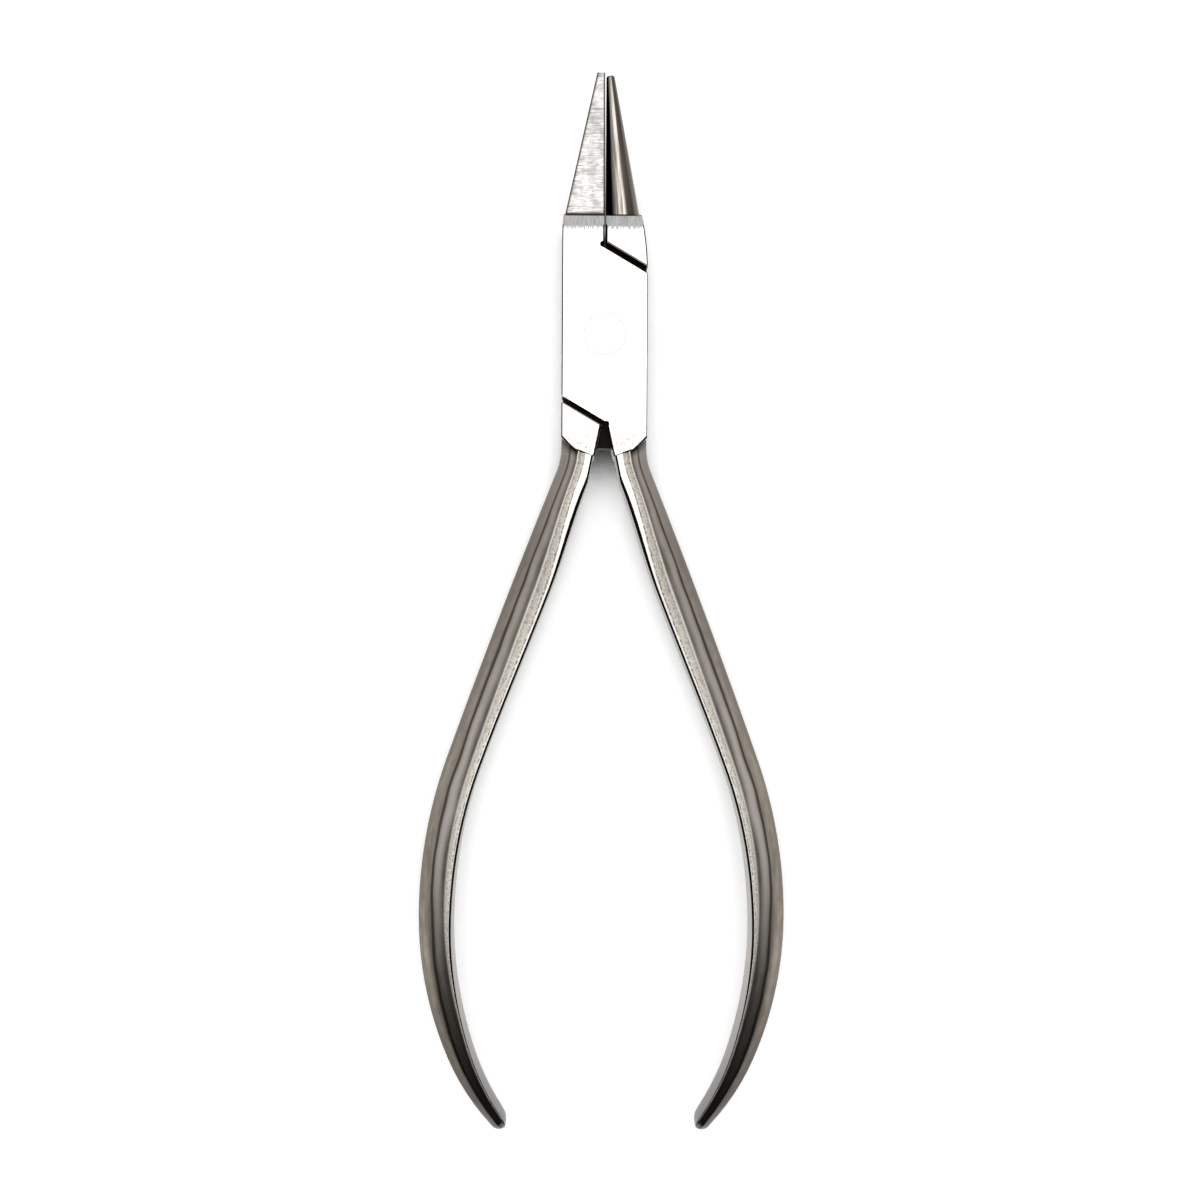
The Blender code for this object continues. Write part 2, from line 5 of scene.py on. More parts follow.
import bmesh
import bpy
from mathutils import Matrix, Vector


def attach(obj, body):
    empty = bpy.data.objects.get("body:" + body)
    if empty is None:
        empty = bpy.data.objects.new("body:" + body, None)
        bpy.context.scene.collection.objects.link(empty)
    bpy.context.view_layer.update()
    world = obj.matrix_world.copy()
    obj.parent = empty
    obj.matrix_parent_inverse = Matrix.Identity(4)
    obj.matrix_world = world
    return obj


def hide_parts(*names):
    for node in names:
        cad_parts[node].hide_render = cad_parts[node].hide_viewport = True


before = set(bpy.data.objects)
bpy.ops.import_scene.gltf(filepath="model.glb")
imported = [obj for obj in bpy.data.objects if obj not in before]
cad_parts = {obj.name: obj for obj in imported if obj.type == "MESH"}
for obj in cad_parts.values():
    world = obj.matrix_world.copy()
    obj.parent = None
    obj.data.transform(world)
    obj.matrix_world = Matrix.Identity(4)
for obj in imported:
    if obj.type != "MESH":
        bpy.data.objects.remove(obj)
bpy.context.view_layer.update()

MM = 0.001

# Joint block and beaks, as in the solids
JOINT_THICKNESS = 8.0 * MM
MID_HEIGHT = JOINT_THICKNESS / 2
HALF_WIDTH = 5.2 * MM
SHOULDER_HEIGHT = 14.4 * MM
BLOCK_END = 14.9 * MM
BEVEL_START = 13.05 * MM
EDGE_BREAK = 0.15 * MM
CONE_BASE_DIAMETER = 4.3 * MM
CONE_TIP_DIAMETER = 1.05 * MM
CONE_LENGTH = 18.0 * MM
FLAT_BEAK_WIDTHS = (4.9 * MM, 0.98 * MM)
FLAT_BEAK_LENGTH = 18.2 * MM
BEAK_GAP = 0.12 * MM

# Nicks in the flat beak are full to the first value and gone at the second: in from its outer edge, and up
# from the shoulder
NICK_REACH = (0.3 * MM, 1.1 * MM)
NICK_HEIGHT = (6.5 * MM, 9.0 * MM)
# The painted shade along its long edges begins at the first value and is full at the second: in from the
# outer edge, and along X at the inner one
BEAK_EDGE_SHADE_OUTER = (0.3 * MM, 0.16 * MM)
BEAK_EDGE_SHADE_INNER_X = (-0.34 * MM, -0.18 * MM)
# Height of the line of painted shade in the corner at the shoulder
CORNER_LINE = 0.3 * MM
# Brush marks at the shoulder: how much their lengths differ, and the heights above the start of its slope
# over which the shortest set in
BRUSH_RAGGED = 3 * MM
BRUSH_FADE = (1.1 * MM, 1.4 * MM)
# Half the width of a crisp line between two finishes
CRISP = 0.02 * MM
# Height at which the handling marks on the roots set in, and at which they are full
MARKS_SET_IN = (-8 * MM, -13 * MM)
# Distances round the cone's base, from its outer side up over the front: the painted shade of the flank
# sets in over the first pair and the darker painted outer side over the second
CONE_FLANK = [CONE_BASE_DIAMETER / 2 * math.radians(angle) for angle in (110, 131)]
CONE_OUTSIDE = [CONE_BASE_DIAMETER / 2 * math.radians(angle) for angle in (84, 70)]

# Crotch between the handle roots, and the arc at which the flat face of the joint ends
CROTCH_HALF_GAP = 0.3 * MM
CROTCH_CORNER = -10.385 * MM
CROTCH_SPREAD = math.radians(11.5)
WEB_END = -13.7 * MM
FACE_END_INNER = -14.9 * MM
FACE_END_OUTER = -12.5 * MM
FACE_END_RADIUS = 7.5 * MM
# How far below that arc the painted shade is full, and gone, and the same for the scribbled marks
CORNER_SHADE_REACH = (0.12 * MM, 0.9 * MM)
SCRIBBLES_BELOW = (0.5 * MM, 2.5 * MM)

# Outer edge of a handle from the joint to its end: length of each stretch and how far it turns outward
HANDLE_START = -11.4 * MM
HANDLE_STRETCHES = (
    (2.1 * MM, 0.0),
    (3.04 * MM, 21.8),
    (37.6 * MM, -2.2),
    (19.84 * MM, -19.6),
    (18.05 * MM, -23.5),
    (11.19 * MM, -22.5),
)
BEND_END = 5.14 * MM
SHANK_END = 42.74 * MM
WIDENING_LENGTH = 14.0 * MM
# The painted shade below the joint's face stops here, under the sides of the joint
CORNER_SHADE_TOP = HANDLE_START + 0.6 * MM

# Widths of a handle and of the land, flute and outer face across it
NECK_WIDTH = 4.05 * MM
HANDLE_WIDTH = 4.7 * MM
SHANK_END_WIDTH = 4.3 * MM
TIP_WIDTH = 1.7 * MM
WIDTH_TAPER_POWER = 3.0
LAND_WIDTHS = (0.95 * MM, 0.28 * MM)
LAND_NARROWS = (4.0 * MM, 22.0 * MM)
FLUTE_WIDTHS = (1.0 * MM, 1.65 * MM)
OUTER_WIDTHS = (1.05 * MM, 2.0 * MM)
LAND_SHARE_AT_MOST = 0.5
FLUTE_SHARE_AT_MOST = 0.47
OUTER_SHARE_AT_MOST = 0.45

# Where the hand holds a handle, along it: the painted light of the grip begins, is full, begins to end, and
# is gone
HOLD_START = 16 * MM
HOLD_FULL = 50 * MM
HOLD_FADES = 57 * MM
HOLD_END = 70 * MM
# Along a handle, where its end turns from satin to nearly black in painted shade
END_DARKENS = (68 * MM, 86 * MM)

# Lines across a handle, as the attribute "row" counts them from the inner edge outwards
INNER_EDGE, LAND_EDGE, RIDGE, CREASE, OUTER_EDGE = 0.0, 1.0, 2.0, 3.0, 4.0


# Helpers

MIX_A, MIX_B, MIX_OUT = 6, 7, 2  # colour sockets of a Mix node


def linear(hex_colour):
    """An sRGB colour such as "c5c1bd", as the linear RGBA that a shader takes."""
    channels = [int(hex_colour[i : i + 2], 16) / 255 for i in (0, 2, 4)]
    return tuple(c / 12.92 if c <= 0.04045 else ((c + 0.055) / 1.055) ** 2.4 for c in channels) + (1.0,)


def per_mm(*sizes):
    """Mapping scale at which one unit of a pattern has these sizes in millimetres along X, Y and Z."""
    return tuple(1 / (size * MM) for size in sizes)


def add_node(tree, kind, settings=None, inputs=None):
    """Adds a node, sets its properties, and links or sets its inputs, which are named or numbered."""
    made = tree.nodes.new(kind)
    for name, value in (settings or {}).items():
        setattr(made, name, value)
    for name, value in (inputs or {}).items():
        socket = made.inputs[name]
        if isinstance(value, bpy.types.NodeSocket):
            tree.links.new(value, socket)
        else:
            socket.default_value = value
    return made


def spots(tree, place, sizes, detail, turn=0.0, distortion=0.0):
    """Random pattern from 0 to 1, in spots of these sizes in millimetres, turned about Z by degrees."""
    stretched = add_node(
        tree,
        "ShaderNodeMapping",
        inputs={"Vector": place, "Rotation": (0.0, 0.0, math.radians(turn)), "Scale": per_mm(*sizes)},
    )
    pattern = add_node(
        tree,
        "ShaderNodeTexNoise",
        inputs={
            "Vector": stretched.outputs[0],
            "Scale": 1.0,
            "Detail": detail,
            "Distortion": distortion,
        },
    )
    return pattern.outputs["Fac"]


def laid_over(tree, colour, *layers):
    """The colour with each layer, given as its share and its colour, laid over those before it."""
    for share, layer_colour in layers:
        mixed = add_node(
            tree,
            "ShaderNodeMix",
            {"data_type": "RGBA"},
            {"Factor": share, MIX_A: colour, MIX_B: layer_colour},
        )
        colour = mixed.outputs[MIX_OUT]
    return colour


def give_look(tree, shader, colour, relief, depth, strength):
    """Gives the shader its colour, and bumps from a relief of this depth in millimetres."""
    tree.links.new(colour, shader.inputs["Base Color"])
    bump = add_node(
        tree, "ShaderNodeBump", inputs={"Strength": strength, "Distance": depth * MM, "Height": relief}
    )
    tree.links.new(bump.outputs[0], shader.inputs["Normal"])


def new_material(name):
    material = bpy.data.materials.new(name)
    material.use_nodes = True
    return material, material.node_tree, material.node_tree.nodes["Principled BSDF"]


def select_only(obj):
    bpy.ops.object.select_all(action="DESELECT")
    obj.select_set(True)
    bpy.context.view_layer.objects.active = obj


def mix(near, far, share):
    return near + (far - near) * share


def smooth_step(value, low, high):
    share = min(1, max(0, (value - low) / (high - low)))
    return share * share * (3 - 2 * share)


def grade(points, value):
    """The value read off a line through (x, y) points in rising x, level before and after them."""
    for (x0, y0), (x1, y1) in zip(points, points[1:]):
        if value <= x1:
            return mix(y0, y1, max(0, (value - x0) / (x1 - x0)))
    return points[-1][1]


# Materials


def held_share(tree, down_handle):
    """How far down the handle the hand's hold has built up, and how strong the painted light of the grip is
    at each place.
    """
    reached = add_node(
        tree,
        "ShaderNodeMapRange",
        inputs={"Value": down_handle, "From Min": HOLD_START, "From Max": HOLD_FULL},
    ).outputs[0]
    left = add_node(
        tree,
        "ShaderNodeMapRange",
        inputs={"Value": down_handle, "From Min": HOLD_END, "From Max": HOLD_FADES},
    ).outputs[0]
    held = add_node(tree, "ShaderNodeMath", {"operation": "MULTIPLY"}, {0: reached, 1: left}).outputs[0]
    return reached, held


def brushed_shoulder(tree, place, height):
    """Where the shoulder was dressed with a brush, and the painted highlight on its strokes.

    The strokes are 0.2 mm wide and end 0.1 to 0.8 mm below the shoulder. On its slope only, they carry a
    painted highlight.
    """
    ragged = spots(tree, place, (0.22, 2.5, 1), 3.0)
    reach = add_node(
        tree, "ShaderNodeMath", {"operation": "MULTIPLY_ADD"}, {0: ragged, 1: BRUSH_RAGGED, 2: height}
    ).outputs[0]
    brushed = add_node(
        tree,
        "ShaderNodeMapRange",
        inputs={
            "Value": reach,
            "From Min": BEVEL_START + BRUSH_FADE[0],
            "From Max": BEVEL_START + BRUSH_FADE[1],
        },
    ).outputs[0]
    on_slope = add_node(
        tree,
        "ShaderNodeMapRange",
        inputs={"Value": height, "From Min": BEVEL_START - CRISP, "From Max": BEVEL_START + CRISP},
    ).outputs[0]
    strokes = add_node(
        tree,
        "ShaderNodeMapRange",
        inputs={"Value": ragged, "From Min": 0.3, "From Max": 0.6, "To Min": 0.55},
    ).outputs[0]
    # painted highlight: the strokes are bright on the slope only
    bright = add_node(
        tree, "ShaderNodeMath", {"operation": "MULTIPLY"}, {0: on_slope, 1: strokes}
    ).outputs[0]
    return brushed, bright


def handling_marks(tree, place, height):
    """Marks 0.1 mm wide and 0.5 mm long, on the roots of the handles only."""
    marks = spots(tree, place, (0.1, 0.5, 0.5), 5.0)
    worn = add_node(
        tree, "ShaderNodeMapRange", inputs={"Value": marks, "From Min": 0.46, "From Max": 0.6}
    ).outputs[0]
    low_down = add_node(
        tree,
        "ShaderNodeMapRange",
        inputs={
            "Value": height,
            "From Min": MARKS_SET_IN[0],
            "From Max": MARKS_SET_IN[1],
            "To Max": 0.75,
        },
    ).outputs[0]
    return add_node(
        tree, "ShaderNodeMath", {"operation": "MULTIPLY"}, {0: worn, 1: low_down}
    ).outputs[0]


def make_surface_ground_steel():
    """Hardened stainless steel, surface-ground on the flats of the joint: almost white under a softbox.

    It has fine lengthwise lines, grey brush marks that run out below the shoulder, and tan handling marks
    at the roots of the handles.
    """
    material, tree, shader = new_material("surface_ground_stainless_steel")
    place = add_node(tree, "ShaderNodeTexCoord").outputs["Object"]
    height = add_node(tree, "ShaderNodeSeparateXYZ", inputs={0: place}).outputs["Y"]
    # grinding lines 0.12 mm apart and 6 mm long, coarser than the real ones so that they show
    lines = spots(tree, place, (0.12, 6, 0.12), 3.0)
    brushed, bright = brushed_shoulder(tree, place, height)
    brush_colour = laid_over(tree, linear("9b9997"), (bright, linear("f8f7f6")))
    colour = laid_over(
        tree,
        linear("e4e1dd"),
        (lines, linear("f3f2f0")),
        (brushed, brush_colour),
        (handling_marks(tree, place, height), linear("9a8774")),
    )
    give_look(tree, shader, colour, relief=lines, depth=0.003, strength=0.5)
    rough = add_node(tree, "ShaderNodeMapRange", inputs={"Value": lines, "To Min": 0.2, "To Max": 0.3})
    tree.links.new(rough.outputs[0], shader.inputs["Roughness"])
    shader.inputs["Metallic"].default_value = 1.0
    return material


def in_from_outer_edge(tree, x, height):
    """Distance in from the outer edge of the flat beak."""
    width = add_node(
        tree,
        "ShaderNodeMapRange",
        inputs={
            "Value": height,
            "From Min": SHOULDER_HEIGHT,
            "From Max": SHOULDER_HEIGHT + FLAT_BEAK_LENGTH,
            "To Min": FLAT_BEAK_WIDTHS[0] + BEAK_GAP / 2,
            "To Max": FLAT_BEAK_WIDTHS[1] + BEAK_GAP / 2,
        },
    ).outputs[0]
    return add_node(tree, "ShaderNodeMath", {"operation": "ADD"}, {0: x, 1: width}).outputs[0]


def edge_nicks(tree, place, height, inward):
    """Nicks 0.1 mm wide, cut up to 1 mm in from the outer edge over the lower half of the beak."""
    near_edge = add_node(
        tree,
        "ShaderNodeMapRange",
        inputs={"Value": inward, "From Min": NICK_REACH[1], "From Max": NICK_REACH[0]},
    ).outputs[0]
    low_down = add_node(
        tree,
        "ShaderNodeMapRange",
        inputs={
            "Value": height,
            "From Min": BLOCK_END + NICK_HEIGHT[1],
            "From Max": BLOCK_END + NICK_HEIGHT[0],
        },
    ).outputs[0]
    cut = spots(tree, place, (2.2, 0.14, 1), 2.0)
    deep = add_node(
        tree,
        "ShaderNodeMapRange",
        inputs={"Value": cut, "From Min": 0.56, "From Max": 0.64, "To Max": 0.9},
    ).outputs[0]
    reached = add_node(
        tree, "ShaderNodeMath", {"operation": "MULTIPLY"}, {0: near_edge, 1: low_down}
    ).outputs[0]
    return add_node(tree, "ShaderNodeMath", {"operation": "MULTIPLY"}, {0: deep, 1: reached}).outputs[0]


def beak_edge_shade(tree, x, inward):
    """Painted shade along both long edges of the flat beak, over the last 0.2 mm."""
    at_outer_edge = add_node(
        tree,
        "ShaderNodeMapRange",
        inputs={"Value": inward, "From Min": BEAK_EDGE_SHADE_OUTER[0], "From Max": BEAK_EDGE_SHADE_OUTER[1], "To Max": 0.8},
    ).outputs[0]
    at_inner_edge = add_node(
        tree,
        "ShaderNodeMapRange",
        inputs={"Value": x, "From Min": BEAK_EDGE_SHADE_INNER_X[0], "From Max": BEAK_EDGE_SHADE_INNER_X[1], "To Max": 0.8},
    ).outputs[0]
    return add_node(
        tree, "ShaderNodeMath", {"operation": "MAXIMUM"}, {0: at_outer_edge, 1: at_inner_edge}
    ).outputs[0]


def make_cross_ground_steel():
    """Stainless steel of the flat beak, hand-ground across its length in short, uneven lines.

    It has nicks along the outer edge, painted shade along both long edges and a brown line of painted shade
    in the corner at the shoulder.
    """
    material, tree, shader = new_material("cross_ground_stainless_steel")
    place = add_node(tree, "ShaderNodeTexCoord").outputs["Object"]
    x, height, _ = add_node(tree, "ShaderNodeSeparateXYZ", inputs={0: place}).outputs
    # cross lines 0.1 mm apart and 1.1 mm long, a few degrees off square
    lines = spots(tree, place, (1.1, 0.1, 0.4), 4.0, turn=4)
    # soft patches 1 mm across where the wheel bit more or less
    uneven = spots(tree, place, (0.9, 1.2, 2), 3.0)
    both = add_node(
        tree, "ShaderNodeMath", {"operation": "MULTIPLY_ADD"}, {0: uneven, 1: 0.7, 2: lines}
    ).outputs[0]
    tone = add_node(
        tree, "ShaderNodeMapRange", inputs={"Value": both, "From Min": 0.62, "From Max": 1.05}
    ).outputs[0]
    inward = in_from_outer_edge(tree, x, height)
    # painted shade: a brown line in the corner at the shoulder
    shaded_corner = add_node(
        tree,
        "ShaderNodeMapRange",
        inputs={"Value": height, "From Min": BLOCK_END + CORNER_LINE, "From Max": BLOCK_END},
    ).outputs[0]
    colour = laid_over(
        tree,
        linear("96928d"),
        (tone, linear("ebe9e7")),
        (edge_nicks(tree, place, height, inward), linear("3f3833")),
        (beak_edge_shade(tree, x, inward), linear("4a433d")),
        (shaded_corner, linear("4a352c")),
    )
    give_look(tree, shader, colour, relief=both, depth=0.008, strength=0.7)
    shader.inputs["Metallic"].default_value = 1.0
    shader.inputs["Roughness"].default_value = 0.3
    return material


def make_polished_steel():
    """Stainless steel of the conical beak, wheel-polished lengthwise in streaks that meet at the tip."""
    material, tree, shader = new_material("wheel_polished_stainless_steel")
    grain = add_node(tree, "ShaderNodeAttribute", {"attribute_name": "grain"}).outputs["Vector"]
    # streaks 0.22 mm wide at the root and 6 mm long
    streaks = spots(tree, grain, (0.22, 6, 1), 3.0)
    tone = add_node(
        tree, "ShaderNodeMapRange", inputs={"Value": streaks, "From Min": 0.35, "From Max": 0.65}
    ).outputs[0]
    # painted shade: the outer side is darker, and the flank beside the flat beak is nearly black
    around = add_node(tree, "ShaderNodeSeparateXYZ", inputs={0: grain}).outputs["X"]
    outside = add_node(
        tree,
        "ShaderNodeMapRange",
        inputs={
            "Value": around,
            "From Min": CONE_OUTSIDE[0],
            "From Max": CONE_OUTSIDE[1],
            "To Max": 0.85,
        },
    ).outputs[0]
    shaded_flank = add_node(
        tree,
        "ShaderNodeMapRange",
        inputs={"Value": around, "From Min": CONE_FLANK[0], "From Max": CONE_FLANK[1]},
    ).outputs[0]
    colour = laid_over(
        tree,
        linear("857b70"),
        (tone, linear("d4cfc8")),
        (outside, linear("544c45")),
        (shaded_flank, linear("1a1614")),
    )
    # pits 0.15 mm across, left between the streaks
    pits = spots(tree, grain, (0.15, 0.2, 1), 2.0)
    relief = add_node(
        tree, "ShaderNodeMath", {"operation": "MULTIPLY_ADD"}, {0: pits, 1: 0.5, 2: streaks}
    ).outputs[0]
    give_look(tree, shader, colour, relief, depth=0.008, strength=0.6)
    shader.inputs["Metallic"].default_value = 1.0
    shader.inputs["Roughness"].default_value = 0.2
    return material


def ground_by_hand(tree, grain, row):
    """The row, wandering by 0.2 mm about every 9 mm, as lines ground by hand do."""
    drift = spots(tree, grain, (4, 9, 4), 1.0)
    centered = add_node(
        tree, "ShaderNodeMath", {"operation": "SUBTRACT"}, {0: drift, 1: 0.5}
    ).outputs[0]
    return add_node(
        tree, "ShaderNodeMath", {"operation": "MULTIPLY_ADD"}, {0: centered, 1: 0.5, 2: row}
    ).outputs[0]


def painted_flute_light(tree, hand_row):
    """Painted light on the flute: most on its middle, and least beside the ridge."""
    off_middle = add_node(
        tree, "ShaderNodeMath", {"operation": "SUBTRACT"}, {0: hand_row, 1: RIDGE + 0.6}
    ).outputs[0]
    off = add_node(tree, "ShaderNodeMath", {"operation": "ABSOLUTE"}, {0: off_middle}).outputs[0]
    return add_node(
        tree,
        "ShaderNodeMapRange",
        inputs={"Value": off, "From Min": 0.42, "From Max": 0.08, "To Max": 0.7},
    ).outputs[0]


def outer_face_colour(tree, uneven, hand_row, reached):
    """Painted shade on the outer face: darker towards the edge, and darkest near the joint."""
    clouded_row = add_node(
        tree, "ShaderNodeMath", {"operation": "MULTIPLY_ADD"}, {0: uneven, 1: 0.7, 2: hand_row}
    ).outputs[0]
    across = add_node(
        tree,
        "ShaderNodeMapRange",
        inputs={"Value": clouded_row, "From Min": CREASE + 0.8, "From Max": OUTER_EDGE + 0.5},
    ).outputs[0]
    crease_side = laid_over(tree, linear("847b72"), (reached, linear("bcb2a5")))
    edge_side = laid_over(tree, linear("68615a"), (reached, linear("7f776d")))
    return laid_over(tree, crease_side, (across, edge_side))


def crease_shade(tree, hand_row):
    """Painted shade: a soft dark line in the crease between the flute and the outer face."""
    at_crease = add_node(
        tree, "ShaderNodeMath", {"operation": "COMPARE"}, {0: hand_row, 1: CREASE, 2: 0.1}
    ).outputs[0]
    return add_node(
        tree, "ShaderNodeMath", {"operation": "MULTIPLY"}, {0: at_crease, 1: 0.8}
    ).outputs[0]


def ridge_highlight(tree, row):
    """Painted highlight along the flute's side of the ridge."""
    on_ridge = add_node(
        tree,
        "ShaderNodeMapRange",
        inputs={"Value": row, "From Min": RIDGE + 0.12, "From Max": RIDGE + 0.02},
    ).outputs[0]
    off_inner_face = add_node(
        tree, "ShaderNodeMath", {"operation": "GREATER_THAN"}, {0: row, 1: RIDGE - 0.5}
    ).outputs[0]
    return add_node(
        tree, "ShaderNodeMath", {"operation": "MULTIPLY"}, {0: on_ridge, 1: off_inner_face}
    ).outputs[0]


def painted_corner_shade(tree, place, row):
    """Painted shade in the corner below the face of the joint: darkest at the arc, gone 0.9 mm below it."""
    mirrored = add_node(tree, "ShaderNodeVectorMath", {"operation": "ABSOLUTE"}, {0: place}).outputs[0]
    flat = add_node(
        tree, "ShaderNodeVectorMath", {"operation": "MULTIPLY"}, {0: mirrored, 1: (1.0, 1.0, 0.0)}
    ).outputs[0]
    center = face_end_center()
    away = add_node(
        tree, "ShaderNodeVectorMath", {"operation": "DISTANCE"}, {0: flat, 1: (center.x, -center.y, 0.0)}
    ).outputs["Value"]
    near_arc = add_node(
        tree,
        "ShaderNodeMapRange",
        inputs={
            "Value": away,
            "From Min": FACE_END_RADIUS + CORNER_SHADE_REACH[1],
            "From Max": FACE_END_RADIUS + CORNER_SHADE_REACH[0],
        },
    ).outputs[0]
    on_handle_faces = add_node(
        tree, "ShaderNodeMath", {"operation": "GREATER_THAN"}, {0: row, 1: LAND_EDGE}
    ).outputs[0]
    height = add_node(tree, "ShaderNodeSeparateXYZ", inputs={0: place}).outputs["Y"]
    below_joint = add_node(
        tree, "ShaderNodeMath", {"operation": "LESS_THAN"}, {0: height, 1: CORNER_SHADE_TOP}
    ).outputs[0]
    shaded_corner = add_node(
        tree, "ShaderNodeMath", {"operation": "MULTIPLY"}, {0: on_handle_faces, 1: below_joint}
    ).outputs[0]
    return add_node(
        tree, "ShaderNodeMath", {"operation": "MULTIPLY"}, {0: near_arc, 1: shaded_corner}
    ).outputs[0]


def make_satin_steel():
    """Stainless steel of the handles, satin-finished with a belt: warm grey with soft long lines.

    It has a painted highlight on the ridge and on the middle of the flute, brightest where the hand holds,
    and painted shade on the outer face, at the ends, in the crease and below the joint.
    """
    material, tree, shader = new_material("belt_satin_stainless_steel")
    place = add_node(tree, "ShaderNodeTexCoord").outputs["Object"]
    grain = add_node(tree, "ShaderNodeAttribute", {"attribute_name": "grain"}).outputs["Vector"]
    row = add_node(tree, "ShaderNodeAttribute", {"attribute_name": "row"}).outputs["Fac"]
    down_handle = add_node(tree, "ShaderNodeSeparateXYZ", inputs={0: grain}).outputs["Y"]
    hand_row = ground_by_hand(tree, grain, row)
    # belt lines 0.2 mm apart and 8 mm long, coarser than the real ones so that they show
    lines = spots(tree, grain, (0.2, 8, 0.2), 4.0)
    # cloudiness of the forged skin, 1 to 2 mm across
    mottle = spots(tree, grain, (0.8, 1.8, 0.9), 3.0)
    both = add_node(tree, "ShaderNodeMath", {"operation": "ADD"}, {0: lines, 1: mottle}).outputs[0]
    middle = painted_flute_light(tree, hand_row)
    # the lines and mottle are the steel's own, the middle of the flute adds painted light
    belt = add_node(
        tree, "ShaderNodeMath", {"operation": "MULTIPLY_ADD"}, {0: both, 1: 0.7, 2: middle}
    ).outputs[0]
    tone = add_node(
        tree, "ShaderNodeMapRange", inputs={"Value": belt, "From Min": 0.5, "From Max": 1.6}
    ).outputs[0]
    # painted highlight: the middle of the flute is brighter still where the hand holds the pliers
    reached, held = held_share(tree, down_handle)
    grip_highlight = add_node(
        tree, "ShaderNodeMath", {"operation": "MULTIPLY"}, {0: held, 1: middle}
    ).outputs[0]
    # painted shade: the outer face is darker than the flute
    outside = add_node(
        tree,
        "ShaderNodeMapRange",
        inputs={"Value": hand_row, "From Min": CREASE - 0.12, "From Max": CREASE + 0.05},
    ).outputs[0]
    # painted shade: the last stretch is nearly black
    end_shade = add_node(
        tree,
        "ShaderNodeMapRange",
        inputs={
            "Value": down_handle,
            "From Min": END_DARKENS[0],
            "From Max": END_DARKENS[1],
            "To Max": 0.8,
        },
    ).outputs[0]
    colour = laid_over(
        tree,
        linear("7f766b"),
        (tone, linear("cdc5bb")),
        (grip_highlight, linear("f6efe6")),
        (outside, outer_face_colour(tree, both, hand_row, reached)),
        (crease_shade(tree, hand_row), linear("4f463e")),
        (ridge_highlight(tree, row), linear("f2efea")),
        (painted_corner_shade(tree, place, row), linear("1d1916")),
        (end_shade, linear("211c18")),
    )
    give_look(tree, shader, colour, relief=both, depth=0.006, strength=0.6)
    shader.inputs["Metallic"].default_value = 1.0
    shader.inputs["Roughness"].default_value = 0.3
    return material


def root_scribbles(tree, place, grain):
    """Scribbled marks at the root, where the grinding wheel ran out into the band."""
    height = add_node(tree, "ShaderNodeSeparateXYZ", inputs={0: place}).outputs["Y"]
    scribble = spots(tree, grain, (0.3, 0.2, 0.3), 4.0, distortion=2.0)
    marks = add_node(
        tree, "ShaderNodeMapRange", inputs={"Value": scribble, "From Min": 0.5, "From Max": 0.6}
    ).outputs[0]
    at_root = add_node(
        tree,
        "ShaderNodeMapRange",
        inputs={
            "Value": height,
            "From Min": FACE_END_INNER - SCRIBBLES_BELOW[1],
            "From Max": FACE_END_INNER - SCRIBBLES_BELOW[0],
        },
    ).outputs[0]
    return add_node(tree, "ShaderNodeMath", {"operation": "MULTIPLY"}, {0: marks, 1: at_root}).outputs[0]


def band_grip_light(tree, row, down_handle, tone):
    """Painted light on the band where the hand holds: most beside the land, and less in the dimples."""
    _, held = held_share(tree, down_handle)
    by_row = add_node(
        tree,
        "ShaderNodeMapRange",
        inputs={
            "Value": row,
            "From Min": RIDGE - 0.2,
            "From Max": LAND_EDGE,
            "To Min": 0.4,
            "To Max": 1.1,
        },
    ).outputs[0]
    grainy = add_node(
        tree, "ShaderNodeMath", {"operation": "MULTIPLY_ADD"}, {0: tone, 1: 0.5, 2: 0.6}
    ).outputs[0]
    lit_row = add_node(
        tree, "ShaderNodeMath", {"operation": "MULTIPLY"}, {0: by_row, 1: grainy}
    ).outputs[0]
    return add_node(
        tree, "ShaderNodeMath", {"operation": "MULTIPLY", "use_clamp": True}, {0: held, 1: lit_row}
    ).outputs[0]


def dotted_line(tree, row, pits):
    """The line where the band meets the land, broken into dots about 0.5 mm long."""
    at_land = add_node(
        tree, "ShaderNodeMath", {"operation": "COMPARE"}, {0: row, 1: LAND_EDGE + 0.2, 2: 0.07}
    ).outputs[0]
    dotted = add_node(
        tree,
        "ShaderNodeMapRange",
        inputs={"Value": pits, "From Min": 0.6, "From Max": 0.42, "To Max": 0.75},
    ).outputs[0]
    return add_node(
        tree, "ShaderNodeMath", {"operation": "MULTIPLY"}, {0: at_land, 1: dotted}
    ).outputs[0]


def inner_edge_shade(tree, row, down_handle):
    """Painted shade where the inner edge runs onto the land: 0.25 mm of it at the root, all of it farther
    down.
    """
    shade_row = add_node(
        tree,
        "ShaderNodeMapRange",
        inputs={
            "Value": down_handle,
            "From Min": LAND_NARROWS[0],
            "From Max": LAND_NARROWS[1],
            "To Min": 0.3,
            "To Max": 0.93,
        },
    ).outputs[0]
    return add_node(
        tree, "ShaderNodeMath", {"operation": "LESS_THAN"}, {0: row, 1: shade_row}
    ).outputs[0]


